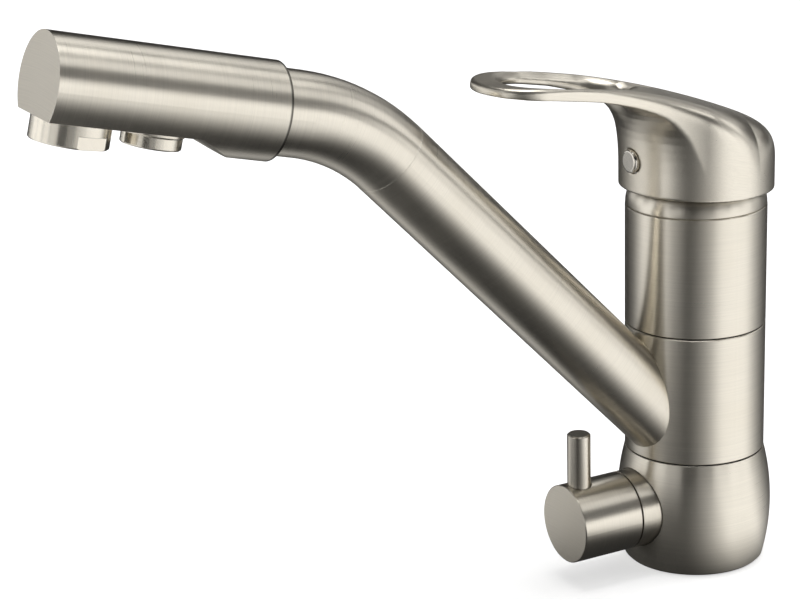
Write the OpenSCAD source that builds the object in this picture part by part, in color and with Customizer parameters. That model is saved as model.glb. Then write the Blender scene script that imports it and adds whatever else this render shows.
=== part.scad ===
// Three-way kitchen mixer with a second outlet for filtered drinking water.
// Millimetres. The origin is the centre of the base's underside, +Z is up along the column,
// and the spout, the lever and the filter knob point towards -Y.
// The column stacks up as a fixed base, a swivelling spout section and a fixed upper body
// with the mixing cartridge, all carried by one core that screws into the base.

/* [Column] */
// Outside diameter of the column
column_d = 48; // [47:0.5:50]
// Height of the fixed base
base_h = 40.3; // [39:0.1:44]
// How far the base bulges out beyond the column
base_bulge = 2.6; // [1.8:0.1:3.4]
// Chamfer at the base's lower edge
base_foot = 0.6; // [0.2:0.1:1.2]
// Height of the swivelling spout section
swivel_h = 44.6; // [43.6:0.1:48]
// Height of the fixed upper body
body_h = 41.4; // [40.5:0.1:45]
// Thickness of the slide rings, which shows as a seam between the sections
seam_gap = 0.4; // [0.3:0.05:0.6]
// Diameter of the slot where a seam steps in behind the column's face
seam_d = 46.6; // [45.6:0.1:46.8]

/* [Core] */
// Diameter of the core that the spout section turns on
core_d = 32; // [31:0.5:33]
// Depth of the core's thread in the base
core_seat = 7.3; // [6:0.1:8]
// Length of the core's thread in the upper body
core_top = 9.3; // [8:0.1:10]
// Diameter of the hot and the cold bore
supply_d = 6.4; // [5:0.1:6.8]
// Distance between the hot and the cold bore
supply_spacing = 14; // [13.4:0.1:15]
// Diameter of the bore that returns mixed water
return_d = 7; // [5:0.1:7.4]
// Distance of the return bore from the column's axis
return_offset = 8; // [7.8:0.1:8.6]
// Diameter of the bore for filtered water
filter_d = 4.4; // [3:0.1:4.6]
// Distance of the filtered bore from the column's axis
filter_offset = 11.2; // [11:0.1:11.6]
// Diameter of the two ring chambers inside the spout section
gallery_d = 38; // [36:0.5:39]
// Thickness of the O-rings on the core
ring_t = 2; // [1.6:0.1:2.1]

/* [Deck side] */
// Wall diameter of the three hose sockets, for an M10 x 1 thread
inlet_d = 8.9; // [8.8:0.05:9.1]
// Depth of the hose sockets
inlet_depth = 12; // [10:0.5:12.5]
// Distance of the hot and cold sockets from the axis
inlet_side = 11.5; // [10.8:0.1:12.5]
// Distance of the filtered socket from the axis
inlet_front = 6.5; // [6.2:0.1:7]
// Wall diameter of the stud socket, for an M8 thread
stud_d = 6.7; // [6.6:0.05:6.9]
// Depth of the stud socket
stud_depth = 14; // [10:0.5:16]
// Distance of the stud socket from the axis
stud_back = 12.5; // [12:0.1:13.5]
// Diameter of the sealing ring under the base, to its middle
base_seal_d = 42; // [41:0.1:42.6]

/* [Spout] */
// Outside diameter of the spout tube
tube_d = 27; // [26:0.1:27.4]
// Wall of the spout tube
tube_wall = 1.2; // [1:0.1:1.5]
// Angle of the spout tube above the horizontal
tube_rise = 45.9; // [44:0.1:47]
// Height of the tube's axis at the column's face, above the section's lower edge
tube_z = 22.7; // [22.4:0.1:23.2]
// Length along the tube from the column's axis to the bend
tube_run = 168.4; // [120:0.5:200]
// Radius of the bend, to the tube's axis
bend_r = 67.5; // [55:0.5:80]
// Straight length after the bend, to the head
tube_stub = 8.8; // [4:0.1:14]
// Diameter of the spout head
head_d = 31; // [30.4:0.1:31.6]
// Length of the spout head
head_len = 75; // [72:0.5:82]
// Angle of the head above the horizontal
head_tilt = 14; // [12:0.1:16]
// Distance from the head's axis down to the flat under it
flat_drop = 9.4; // [9.2:0.1:9.8]
// Length of the flat, from the head's end face
flat_len = 48.4; // [48:0.1:50]
// Length of the ramp behind the flat
ramp_len = 14.2; // [12:0.1:16]

/* [Outlets] */
// Diameter of the main outlet's shell
aerator_d = 24; // [23:0.1:24.4]
// How far the main outlet stands out of the flat
aerator_h = 7; // [6:0.1:7.6]
// Size of the main outlet across its two spanner flats
aerator_flats = 21.8; // [21.4:0.1:22.8]
// Height of the spanner flats
aerator_flat_h = 3.9; // [2.5:0.1:4.8]
// How far the spanner flats are turned from the head's side
aerator_turn = 15; // [0:1:60]
// Diameter of the filtered outlet's shell
outlet_d = 18.5; // [17.8:0.1:19]
// How far the filtered outlet's flange stands out beyond its shell
outlet_flange = 0.5; // [0.2:0.1:0.6]
// How far the filtered outlet stands out of the flat
outlet_h = 5.2; // [4.4:0.1:5.8]
// Distance of the filtered outlet from the head's end face
outlet_pos = 37.9; // [35.5:0.1:38]
// Diameter of the pipe for filtered water inside the spout
pipe_d = 8; // [7:0.1:8.2]
// Bore of the pipe for filtered water
pipe_bore = 5.5; // [4:0.1:6]

/* [Filter valve] */
// Diameter of the filter knob and of the neck behind it
knob_d = 27; // [26:0.1:28]
// Height of the knob's axis above the deck
knob_z = 21.4; // [20.8:0.1:21.8]
// Distance of the knob's end face from the column's axis
knob_reach = 53.6; // [51:0.1:60]
// Distance of the seam between neck and knob from the column's axis
knob_seam = 30.3; // [29.6:0.1:31]
// Diameter of the knob's pin
pin_d = 8; // [6:0.1:8.4]
// Distance of the pin from the column's axis
pin_pos = 47.7; // [46.8:0.1:48.4]
// Height of the pin's end above the knob's axis
pin_h = 31.8; // [26:0.1:38]

/* [Cartridge] */
// Diameter of the mixing cartridge
cartridge_d = 35; // [34:0.5:35.5]
// Height of the cartridge's shoulder above its seat
cartridge_h = 22.9; // [22.5:0.1:23.3]
// Diameter of the cartridge's neck
cartridge_neck_d = 24; // [23:0.1:24.6]
// Height of the lever's pivot above the cartridge's seat
pivot_up = 27.3; // [27:0.1:28]
// Diameter of the pivot pin
pivot_d = 3; // [2.5:0.1:3.4]
// How far the lever lifts
lift_angle = 22; // [16:1:24]
// Width of the lever's square stem
stem_w = 8; // [7.4:0.1:8.2]
// Outside diameter of the domed trim collar under the handle
collar_d = 47.8; // [47.4:0.1:48]
// Height of the trim collar's rim
collar_h = 6.6; // [6.2:0.1:6.8]
// Height of the trim collar's flat inside the rim
collar_flat = 4.6; // [4.5:0.1:5]

/* [Handle] */
// Diameter of the handle's round hood
hood_d = 52.4; // [52.2:0.1:54]
// Wall of the hood at its lower edge
hood_wall = 1.6; // [1.2:0.1:1.7]
// Gap between the upper body and the hood's lower edge
hood_gap = 6.2; // [5.6:0.1:6.8]
// How far the hood leans forward when the lever is down
hood_lean = 1.8; // [0:0.1:3]
// Height of the hood's top above the upper body, on the axis
hood_top = 36.2; // [35:0.1:39]
// Slope of the hood's top on the axis
top_slope = 18.9; // [17:0.1:20]
// Radius of the arc that the lever's top follows
top_r = 333.5; // [300:1:400]
// Distance of the lever's tip from the axis
lever_reach = 84.6; // [80:0.1:95]
// Width of the lever
lever_w = 31; // [28:0.1:33]
// Thickness of the lever at the finger loop
lever_t = 5; // [4.4:0.1:6]
// Width of the finger loop
loop_w = 20.6; // [17:0.1:22]
// Width of the loop's end near the hood
loop_back_w = 14; // [12:0.1:16]
// Distance of the loop's front end from the axis
loop_front = 75.8; // [74:0.1:77]
// Distance of the loop's back end from the axis
loop_back = 41; // [40:0.1:48]
// Diameter of the cap over the handle's screw
cap_d = 8; // [7.6:0.1:9]
// Height of the cap above the upper body
cap_up = 17.9; // [17.4:0.1:18.4]

/* [Hidden] */
$fn = 96;

// Clearances and small shared sizes
run = 0.05;       // radial clearance of a turning fit
seat = 0.02;      // radial clearance of a fixed fit
air = 0.4;        // gap between bodies that must not touch
edge = 0.4;       // small chamfer on turned edges
over = 1;         // how far a cutter runs past a face
hull_fn = 32;     // facets of shapes that are hulled

// Heights up the column
column_r = column_d / 2;
swivel_z = base_h + seam_gap;
swivel_top = swivel_z + swivel_h;
body_z = swivel_top + seam_gap;
body_top = body_z + body_h;
core_z = base_h - core_seat;
core_end = body_z + core_top;
core_r = core_d / 2;

// Spout path, in the plane X = 0, as [distance in front of the axis, height]
axis_z = swivel_z + tube_z - column_r * tan(tube_rise);
bend_start = [tube_run * cos(tube_rise), axis_z + tube_run * sin(tube_rise)];
bend_centre = bend_start + bend_r * [sin(tube_rise), -cos(tube_rise)];
bend_end = bend_centre + bend_r * [-sin(head_tilt), cos(head_tilt)];
head_reach = bend_end[0] + (tube_stub + head_len) * cos(head_tilt);
head_z = bend_end[1] + (tube_stub + head_len) * sin(head_tilt);
bend_angle = tube_rise - head_tilt;
tube_bore = tube_d - 2 * tube_wall;
tube_socket = 6;                   // how far the tube enters the head
plenum = 9;                        // depth of the mixing space behind the tube's end
bend_draw = 0.06;                  // taken off the bend's diameter
bend_lap = 0.4;                    // length of the straight parts over the bend's ends
head_r = head_d / 2;

// Water ways inside the spout
pipe_drop = 5.6;                   // filtered pipe below the tube's axis
mixed_rise = 5;                    // mixed way above the tube's axis
mixed_d = 9.6;
gallery_r = gallery_d / 2;
function way_z(offset) = axis_z + gallery_r * tan(tube_rise) + offset / cos(tube_rise);
low_gallery_z = way_z(-pipe_drop);
low_gallery_h = 7.4;
high_gallery_z = way_z(mixed_rise);
high_gallery_h = 10;
pipe_in = 22;                      // length of the pipe inside the head
pipe_head = head_len - pipe_in;
way_tail = 2;                      // overlap of a way with the gallery
supply_lean = atan((inlet_side - supply_spacing / 2) / (core_z - inlet_depth + over));

// Outlets
aerator_pos = aerator_d / 2;       // the main outlet meets the plane of the end face
aerator_thread_d = aerator_d - 3;
outlet_thread_d = outlet_d - 3.3;
thread_in = 5.2;                   // length of an outlet's thread inside the head
shell_wall = 1.2;
washer_t = 0.8;
flange_h = 1.5;                    // height of the filtered outlet's flange

// Filter valve, as distances in front of the axis
valve_in = 10;                     // inner end of the headwork
valve_d = 15;
valve_hex = 16;                    // across the flats
valve_hex_d = valve_hex / cos(30);
valve_spot = 24.8;                 // face that the hexagon seats on
neck_gap = 0.35;                   // width of the groove round the neck's foot
neck_groove = 21.6;                // floor of that groove
valve_hex_h = 4;
valve_neck = 38;
valve_neck_d = 11;
valve_chamber = [11.4, 17.2];
valve_chamber_d = 17.6;
valve_end_d = 11;
valve_cup_d = 12;
valve_cup_h = 5.2;
spindle_d = 8;
spindle_end = 50;
disc_t = 2;
seat_t = 0.5;
knob_hollow_d = 21.6;
knob_hub = 43.2;                   // where the knob's solid end starts
pin_shank_d = 5;
pin_step = 8.6;                    // where the pin steps down, above the knob's axis

// Cartridge, as heights
seat_z = core_end + 4.2;
cartridge_r = cartridge_d / 2 - 0.1;
chamber_d = cartridge_d + 0.2;
base_plate_z = seat_z + 0.2;
base_plate_h = 4;
fixed_disc_z = base_plate_z + base_plate_h;
fixed_disc_h = 3.2;
moving_disc_z = fixed_disc_z + fixed_disc_h + run;
moving_disc_h = 3;
carrier_z = moving_disc_z + moving_disc_h;
carrier_h = 4.6;
rotor_z = carrier_z + carrier_h + 0.3;
housing_wall = 2.2;
housing_bore_d = 2 * (cartridge_r - housing_wall);
fixed_disc_d = housing_bore_d - 2.4;
moving_disc_d = fixed_disc_d - 6;
moving_hollow_d = moving_disc_d - 7;
carrier_d = moving_disc_d - 1;
flange_play = 0.5;                 // gap between the rotor's flange and the housing
shoulder_z = seat_z + cartridge_h;
shoulder_t = 2.5;
rotor_flange_h = shoulder_z - shoulder_t - air - rotor_z;
neck_up = 4.5;                     // height of the cartridge's neck above the lever's pivot
neck_top = seat_z + pivot_up + neck_up;
pivot_z = seat_z + pivot_up;
rotor_neck_d = cartridge_neck_d - 5.2;
stem_lean = lift_angle / 2;        // the stem leans forward at rest and back when lifted
stem_up = 24;
stem_down = 13.5;
ball_d = 5.2;
rod_d = 5;
disc_shift = stem_down * sin(stem_lean);
nut_d = chamber_d + 5.6;
nut_z = shoulder_z;
nut_hex = 33;
nut_hex_h = 3.2;
nut_counterbore = 8.6;             // depth of the nut's thread in the upper body
collar_gap = 0.35;                 // shadow line between the collar and the upper body
collar_in = 0.3;                   // clearance between the nut's hexagon and the collar
collar_rim = 20.2;                 // inner radius of the collar's rim
dome_in = 4;                       // half axes of the collar's domed wall, across and up
dome_up = 7;
port_ring_d = 9.2;
port_ring_h = 1.1;

// Handle
hood_r = hood_d / 2;
hood_low = body_top + hood_gap;
hood_mid = body_top + 18.9;        // height of the hood's widest line
hood_in_r = hood_r - hood_wall;
cavity_top = body_top + 22.9;
cavity_step = body_top + 13.9;
cavity_top_d = 36;
top_z = body_top + hood_top;
arc_y = -top_r * sin(top_slope);
arc_z = top_z - top_r * cos(top_slope);
boss_d = 15;
boss_low = 13;                     // boss's lower end above the pivot, along the stem
cap_z = body_top + cap_up;
screw_d = 5;
screw_len = 8;
cap_t = 3.6;
cap_proud = 0.5;                   // how far the cap's rim stands out of the hood
cap_rise = 0.9;                    // rise of the cap's round edge
flare_r = 34;                      // radius of the curve from the hood's front to the lever
flare_out = 9;
inset = 0.15;                      // keeps inner shapes clear of the skin they are joined to

nickel = [0.74, 0.71, 0.66];
dark_nickel = [0.50, 0.48, 0.44];
brass = [0.78, 0.62, 0.32];
rubber = [0.12, 0.12, 0.12];
ceramic = [0.90, 0.89, 0.86];
grey_plastic = [0.55, 0.56, 0.58];
white_plastic = [0.88, 0.88, 0.86];
blue_plastic = [0.35, 0.50, 0.66];

// Shapes used more than once

module rod(d, z1, z2) {
    translate([0, 0, z1]) cylinder(d = d, h = z2 - z1);
}

module pipe_ring(outer, inner, z1, z2) {
    difference() {
        rod(outer, z1, z2);
        rod(inner, z1 - over, z2 + over);
    }
}

// Disc with a chamfer at both edges
module turned(d, z1, z2, c = edge) {
    rotate_extrude() polygon([[0, z1], [d / 2 - c, z1], [d / 2, z1 + c], [d / 2, z2 - c],
        [d / 2 - c, z2], [0, z2]]);
}

module o_ring(d, z, t) {
    translate([0, 0, z]) rotate_extrude() translate([d / 2, 0]) circle(d = t);
}

// Draws along -Y, away from the column's axis, at the filter valve's height
module in_valve() {
    translate([0, 0, knob_z]) rotate([90, 0, 0]) children();
}

// Draws along the rising tube: +Z runs outwards along it, +Y is the side that faces up
module in_tube() {
    translate([0, 0, axis_z]) rotate([90 - tube_rise, 0, 0]) children();
}

// Draws in the head: +Y runs back from the end face, +Z is square to the head's axis
module in_head() {
    translate([0, -head_reach, head_z]) rotate([-head_tilt, 0, 0]) children();
}

// Draws a rod along the head, from one distance behind the end face to another
module along_head(d, s1, s2, lift = 0) {
    translate([0, s1, lift]) rotate([-90, 0, 0]) cylinder(d = d, h = s2 - s1);
}

// Ports of hot, cold and mixed water through the core and the cartridge
module ports(z1, z2) {
    for (side = [-1, 1]) translate([side * supply_spacing / 2, 0, 0]) rod(supply_d, z1, z2);
    translate([0, return_offset, 0]) rod(return_d, z1, z2);
}

// Base

module base_barrel() {
    bulge_r = (pow(base_h / 2, 2) + pow(base_bulge, 2)) / (2 * base_bulge);
    rotate_extrude($fn = 180) intersection() {
        translate([column_r + base_bulge - bulge_r, base_h / 2]) circle(r = bulge_r, $fn = 360);
        polygon([[0, 0], [column_r - base_foot, 0], [column_r + 2 * base_bulge, base_foot + 2 * base_bulge],
            [column_r + 2 * base_bulge, base_h], [0, base_h]]);
    }
}

module base_body() {
    color(nickel) difference() {
        base_barrel();
        rod(core_d + 2 * seat, core_z, base_h + over);
        o_ring(base_seal_d, 0, 2 * ring_t);
        for (side = [-1, 1]) {
            translate([side * inlet_side, 0, 0]) rod(inlet_d, -over, inlet_depth);
            translate([side * inlet_side, 0, inlet_depth - over]) rotate([0, -side * supply_lean, 0]) {
                cylinder(d = supply_d, h = core_z - inlet_depth + 2 * over);
            }
        }
        translate([0, -inlet_front, 0]) rod(inlet_d, -over, inlet_depth);
        translate([0, -inlet_front, 0]) rod(filter_d, 0, knob_z);
        translate([0, stud_back, 0]) rod(stud_d, -over, stud_depth);
        translate([0, -filter_offset, 0]) rod(filter_d, knob_z + valve_d / 2, core_z + over);
        in_valve() {
            rod(valve_end_d, inlet_front - filter_d / 2 - 0.7, valve_in + over);
            rod(valve_d + 2 * seat, valve_in - seat_t, column_r + 2 * base_bulge);
            rod(valve_chamber_d, valve_chamber[0], valve_chamber[1]);
            rod(valve_hex_d + 1, valve_spot, column_r + 2 * base_bulge);
            pipe_ring(knob_d + 2 * neck_gap, knob_d, neck_groove, column_r + 2 * base_bulge);
        }
    }
}

module base_seal() {
    color(rubber) intersection() {
        o_ring(base_seal_d, 0, 2 * ring_t);
        rod(base_seal_d + 4 * ring_t, 0, 2 * ring_t);
    }
}

module core() {
    color(brass) difference() {
        turned(core_d, core_z, core_end);
        for (z = o_ring_heights()) pipe_ring(core_d + over, core_d - 2 * ring_t, z - ring_t / 2,
            z + ring_t / 2);
        for (side = [-1, 1]) translate([side * supply_spacing / 2, 0, 0]) {
            rod(supply_d, core_z - over, core_end + over);
        }
        translate([0, return_offset, 0]) rod(return_d, high_gallery_z - return_d / 2, core_end + over);
        translate([0, return_offset, high_gallery_z]) rotate([-90, 0, 0]) cylinder(d = return_d, h = core_r);
        translate([0, -filter_offset, 0]) rod(filter_d, core_z - over, low_gallery_z + filter_d / 2);
        translate([0, -filter_offset, low_gallery_z]) rotate([90, 0, 0]) cylinder(d = filter_d, h = core_r);
    }
}

function o_ring_heights() = [
    (swivel_z + low_gallery_z - low_gallery_h / 2) / 2,
    (low_gallery_z + low_gallery_h / 2 + high_gallery_z - high_gallery_h / 2) / 2,
    (high_gallery_z + high_gallery_h / 2 + swivel_top) / 2];

module core_o_rings() {
    color(rubber) for (z = o_ring_heights()) o_ring(core_d - ring_t, z, ring_t);
}

module lower_slide_ring() {
    color(rubber) pipe_ring(seam_d, core_d + air, base_h, swivel_z);
}

module upper_slide_ring() {
    color(rubber) pipe_ring(seam_d, core_d + air, swivel_top, body_z);
}

// Upper body and cartridge

module upper_body() {
    color(nickel) difference() {
        turned(column_d, body_z, body_top, 0.3);
        rod(core_d + 2 * seat, body_z - over, core_end);
        rod(chamber_d, seat_z, body_top + over);
        rod(nut_d + 2 * seat, body_top - nut_counterbore, body_top + over);
        ports(core_end - over, seat_z + over);
    }
}

// Three rings that seal the core's ports against the upper body
module core_top_seals() {
    color(rubber) for (p = [[-supply_spacing / 2, 0, supply_d], [supply_spacing / 2, 0, supply_d],
        [0, return_offset, return_d]]) {
        translate([p[0], p[1], 0]) pipe_ring(p[2] - 0.1, p[2] - 1.3, core_end - 1, core_end + 1);
    }
}

module cartridge_base() {
    color(white_plastic) difference() {
        rod(2 * cartridge_r, base_plate_z, fixed_disc_z);
        ports(base_plate_z - over, fixed_disc_z + over);
        for (p = port_places()) translate([p[0], p[1], 0]) {
            rod(port_ring_d + 2 * seat, base_plate_z - over, seat_z + port_ring_h);
        }
    }
}

function port_places() = [[-supply_spacing / 2, 0], [supply_spacing / 2, 0], [0, return_offset]];

module cartridge_port_seals() {
    color(rubber) for (p = port_places()) translate([p[0], p[1], 0]) {
        pipe_ring(port_ring_d, supply_d + 0.8, seat_z, seat_z + port_ring_h);
    }
}

module ceramic_disc_fixed() {
    color(ceramic) difference() {
        rod(fixed_disc_d, fixed_disc_z, fixed_disc_z + fixed_disc_h);
        ports(fixed_disc_z - over, fixed_disc_z + fixed_disc_h + over);
    }
}

module ceramic_disc_moving() {
    color(ceramic) translate([0, disc_shift, 0]) difference() {
        rod(moving_disc_d, moving_disc_z, moving_disc_z + moving_disc_h);
        rod(moving_hollow_d, moving_disc_z - over, moving_disc_z + moving_disc_h / 2);
    }
}

module disc_carrier() {
    slot = ball_d + 0.8;
    color(blue_plastic) translate([0, disc_shift, 0]) difference() {
        rod(carrier_d, carrier_z, carrier_z + carrier_h);
        translate([-slot / 2, -slot / 2, carrier_z + 0.4]) cube([slot, slot, carrier_h]);
    }
}

module cartridge_housing() {
    color(white_plastic) difference() {
        union() {
            rod(2 * cartridge_r, fixed_disc_z, shoulder_z);
            rod(cartridge_neck_d, shoulder_z - over, neck_top);
        }
        rod(housing_bore_d, fixed_disc_z - over, shoulder_z - shoulder_t);
        rod(rotor_neck_d + 2 * air, shoulder_z - shoulder_t - over, neck_top + over);
    }
}

module cartridge_rotor() {
    slot_w = stem_w + 0.8;
    slot_l = 2 * ((pivot_z - rotor_z) * tan(stem_lean) + rod_d / 2 + 0.8);
    color(grey_plastic) difference() {
        union() {
            rod(housing_bore_d - 2 * flange_play, rotor_z, rotor_z + rotor_flange_h);
            rod(rotor_neck_d, rotor_z, neck_top - 0.6);
        }
        translate([-slot_w / 2, -slot_l / 2, rotor_z - over]) cube([slot_w, slot_l, neck_top]);
        translate([0, 0, pivot_z]) rotate([0, 90, 0]) {
            cylinder(d = pivot_d + 2 * seat, h = cartridge_neck_d, center = true);
        }
    }
}

module pivot_pin() {
    color(dark_nickel) translate([0, 0, pivot_z]) rotate([0, 90, 0]) {
        cylinder(d = pivot_d, h = rotor_neck_d - 0.6, center = true);
    }
}

module lever_stem() {
    color(dark_nickel) in_stem() difference() {
        union() {
            translate([-stem_w / 2, -stem_w / 2, -stem_w / 2]) cube([stem_w, stem_w, stem_up + stem_w / 2]);
            rod(rod_d, -stem_down, 0);
            translate([0, 0, -stem_down]) sphere(d = ball_d);
        }
        rotate([0, 90, 0]) cylinder(d = pivot_d + 2 * run, h = 2 * stem_w, center = true);
    }
}

module cartridge_nut() {
    color(brass) difference() {
        union() {
            rod(nut_d, nut_z, body_top);
            translate([0, 0, body_top - over]) {
                cylinder(d = nut_hex / cos(30), h = nut_hex_h + over, $fn = 6);
            }
        }
        rod(cartridge_neck_d + 2 * air, nut_z - over, body_top + nut_hex_h + over);
    }
}

// Ring with a quarter-round outside, which covers the nut
module trim_collar() {
    bore_r = nut_hex / cos(30) / 2 + collar_in;
    bore_h = nut_hex_h + collar_in;
    lip_r = cartridge_neck_d / 2 + 1.4;
    r = collar_d / 2 - dome_in;
    end = asin((collar_h - collar_gap) / dome_up);
    outline = [for (i = [0 : 12]) [r + dome_in * cos(end * i / 12), collar_gap + dome_up * sin(end * i / 12)]];
    color(nickel) translate([0, 0, body_top]) rotate_extrude($fn = 180) polygon(concat(
        [[bore_r, 0], [seam_d / 2, 0], [seam_d / 2, collar_gap]], outline,
        [[collar_rim, collar_h], [collar_rim, collar_flat], [lip_r, collar_flat]],
        [[lip_r, bore_h], [bore_r, bore_h]]));
}

// Spout

// Hollow tube along the spout, a given distance above its axis: rising part, bend and end in the
// head. It starts at a cylinder round the column's axis. The straight parts lap over the bend's
// ends, and the bend's wall is thinner by the draw of the bend.
module spout_pipe(outer, inner, off, root_d, in_len) {
    difference() {
        in_tube() translate([0, off, 0]) rod(outer, 0, tube_run + bend_lap);
        in_tube() translate([0, off, 0]) rod(inner, -over, tube_run + over);
        rod(root_d, 0, 2 * body_top);
    }
    translate([0, -bend_centre[0], bend_centre[1]]) rotate([90, 0, 90]) {
        rotate_extrude(angle = bend_angle, start = 90 - tube_rise, $fn = 360) {
            translate([bend_r + off, 0]) difference() {
                circle(d = outer - bend_draw, $fn = 96);
                circle(d = inner + bend_draw, $fn = 96);
            }
        }
    }
    in_head() difference() {
        along_head(outer, head_len - in_len, head_len + tube_stub + bend_lap, off);
        along_head(inner, head_len - in_len - over, head_len + tube_stub + over, off);
    }
}

module swivel_body() {
    color(nickel) difference() {
        turned(column_d, swivel_z, swivel_top, 0.3);
        rod(core_d + 2 * run, swivel_z - over, swivel_top + over);
        rod(gallery_d, low_gallery_z - low_gallery_h / 2, low_gallery_z + low_gallery_h / 2);
        rod(gallery_d, high_gallery_z - high_gallery_h / 2, high_gallery_z + high_gallery_h / 2);
        in_tube() {
            translate([0, mixed_rise, way_start(mixed_rise)]) cylinder(d = mixed_d, h = tube_d);
            translate([0, -pipe_drop, way_start(-pipe_drop)]) cylinder(d = pipe_d + 2 * seat, h = tube_d);
        }
    }
}

// Distance along the tube at which a way starts, just inside the gallery
function way_start(offset) = gallery_r / cos(tube_rise) + offset * tan(tube_rise) - way_tail;

module spout_tube() {
    color(nickel) spout_pipe(tube_d, tube_bore, 0, column_d, tube_socket);
}

module filtered_pipe() {
    color(blue_plastic) spout_pipe(pipe_d, pipe_bore, -pipe_drop, gallery_d + 1.6, pipe_in);
}

module spout_head() {
    color(nickel) in_head() difference() {
        along_head(head_d, 0, head_len);
        // the flat under the head and the ramp behind it
        rotate([90, 0, 90]) linear_extrude(2 * head_d, center = true) {
            polygon([[-over, -flat_drop], [flat_len, -flat_drop], [flat_len + ramp_len, -head_r],
                [flat_len + ramp_len, -2 * head_r], [-over, -2 * head_r]]);
        }
        // socket for the tube and the space where mixed water comes in
        along_head(tube_d + 2 * seat, head_len - tube_socket - washer_t, head_len + over);
        along_head(tube_bore, head_len - tube_socket - plenum, head_len);
        // mixed water to the main outlet
        along_head(mixed_d, aerator_pos - mixed_d / 2, head_len - tube_socket, mixed_rise);
        translate([0, aerator_pos, 0]) {
            rod(aerator_thread_d + 2 * seat, -2 * head_r, thread_in - flat_drop + washer_t);
            rod(aerator_thread_d - 6, -flat_drop, mixed_rise);
        }
        // filtered water to the second outlet
        along_head(pipe_d + 2 * seat, pipe_head, head_len - tube_socket, -pipe_drop);
        along_head(filter_d, outlet_pos, pipe_head + over, -pipe_drop);
        translate([0, outlet_pos, 0]) {
            rod(outlet_thread_d + 2 * seat, -2 * head_r, thread_in - flat_drop + washer_t);
        }
    }
}

module head_gasket() {
    color(rubber) in_head() translate([0, head_len - tube_socket, 0]) rotate([90, 0, 0]) {
        pipe_ring(tube_d, tube_bore, 0, washer_t);
    }
}

// Outlet shell with a thread that screws up into the head
module outlet_shape(d, thread_d, h, bore_d) {
    difference() {
        union() {
            translate([0, 0, -flat_drop - h]) turned_low(d, h);
            rod(thread_d, -flat_drop - over, thread_in - flat_drop);
        }
        rod(bore_d, -flat_drop - h - over, thread_in - flat_drop + over);
    }
}

// Short cylinder with a chamfer at its lower edge
module turned_low(d, h) {
    rotate_extrude() polygon([[0, 0], [d / 2 - edge, 0], [d / 2, edge], [d / 2, h], [0, h]]);
}

module aerator_shell() {
    bore_d = aerator_thread_d - 2 * shell_wall;
    color(nickel) in_head() translate([0, aerator_pos, 0]) difference() {
        outlet_shape(aerator_d, aerator_thread_d, aerator_h, bore_d);
        rotate([0, 0, aerator_turn]) for (side = [-1, 1]) {
            translate([side * (aerator_flats + aerator_d) / 2, 0, -flat_drop - aerator_h - over]) {
                cube([aerator_d, aerator_d, 2 * (aerator_flat_h + over)], center = true);
            }
        }
    }
}

// Sieve insert with rings of holes
module sieve(d, z1, z2, rings) {
    difference() {
        rod(d, z1, z2);
        for (ring = [0 : rings - 1]) {
            count = ring == 0 ? 1 : 6 * ring;
            for (i = [0 : count - 1]) rotate([0, 0, 360 * i / count]) {
                translate([ring * (d - 3) / (2 * rings - 1), 0, 0]) rod(1.3, z1 - over, z2 + over);
            }
        }
    }
}

module aerator_insert() {
    d = aerator_thread_d - 2 * shell_wall - 2 * seat;
    color(white_plastic) in_head() translate([0, aerator_pos, 0]) {
        sieve(d, -flat_drop - aerator_h + 0.8, thread_in - flat_drop, 4);
    }
}

module aerator_washer() {
    color(rubber) in_head() translate([0, aerator_pos, 0]) {
        pipe_ring(aerator_thread_d, aerator_thread_d - 5, thread_in - flat_drop,
            thread_in - flat_drop + washer_t);
    }
}

module outlet_shell() {
    color(nickel) in_head() translate([0, outlet_pos, 0]) {
        outlet_shape(outlet_d, outlet_thread_d, outlet_h, outlet_thread_d - 2 * shell_wall);
        translate([0, 0, -flat_drop - flange_h]) difference() {
            turned_low(outlet_d + 2 * outlet_flange, flange_h);
            rod(outlet_d - 1, -over, flange_h + over);
        }
    }
}

module outlet_insert() {
    d = outlet_thread_d - 2 * shell_wall - 2 * seat;
    color(blue_plastic) in_head() translate([0, outlet_pos, 0]) {
        sieve(d, -flat_drop - outlet_h + 0.8, thread_in - flat_drop, 3);
    }
}

module outlet_washer() {
    color(rubber) in_head() translate([0, outlet_pos, 0]) {
        pipe_ring(outlet_thread_d, outlet_thread_d - 4, thread_in - flat_drop,
            thread_in - flat_drop + washer_t);
    }
}

// Filter valve

module filter_neck() {
    color(nickel) difference() {
        in_valve() pipe_ring(knob_d, valve_hex_d + 1, column_r - 2, knob_seam - seam_gap / 2);
        base_barrel();
    }
}

module filter_headwork() {
    color(brass) in_valve() difference() {
        union() {
            rod(valve_d, valve_in, valve_spot + over);
            translate([0, 0, valve_spot]) cylinder(d = valve_hex_d, h = valve_hex_h, $fn = 6);
            rod(valve_neck_d, valve_spot, valve_neck);
        }
        rod(valve_cup_d, valve_in - over, valve_in + valve_cup_h);
        rod(spindle_d + 2 * run, valve_in, valve_neck + over);
        translate([0, 0, (valve_chamber[0] + valve_chamber[1]) / 2]) rotate([0, 90, 0]) {
            cylinder(d = 2.4, h = 2 * valve_d, center = true);
        }
    }
}

module filter_seat_ring() {
    color(rubber) in_valve() pipe_ring(valve_cup_d - 0.2, valve_cup_d - 4, valve_in - seat_t, valve_in);
}

module filter_disc_fixed() {
    color(ceramic) in_valve() difference() {
        rod(valve_cup_d - 0.2, valve_in, valve_in + disc_t);
        for (side = [-1, 1]) translate([side * 3, 0, 0]) rod(3, valve_in - over, valve_in + disc_t + over);
    }
}

module filter_disc_moving() {
    z1 = valve_in + disc_t + run;
    color(ceramic) in_valve() difference() {
        rod(valve_cup_d - 0.8, z1, z1 + disc_t);
        for (side = [-1, 1]) translate([0, side * 3, 0]) rod(3, z1 - over, z1 + disc_t + over);
    }
}

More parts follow.
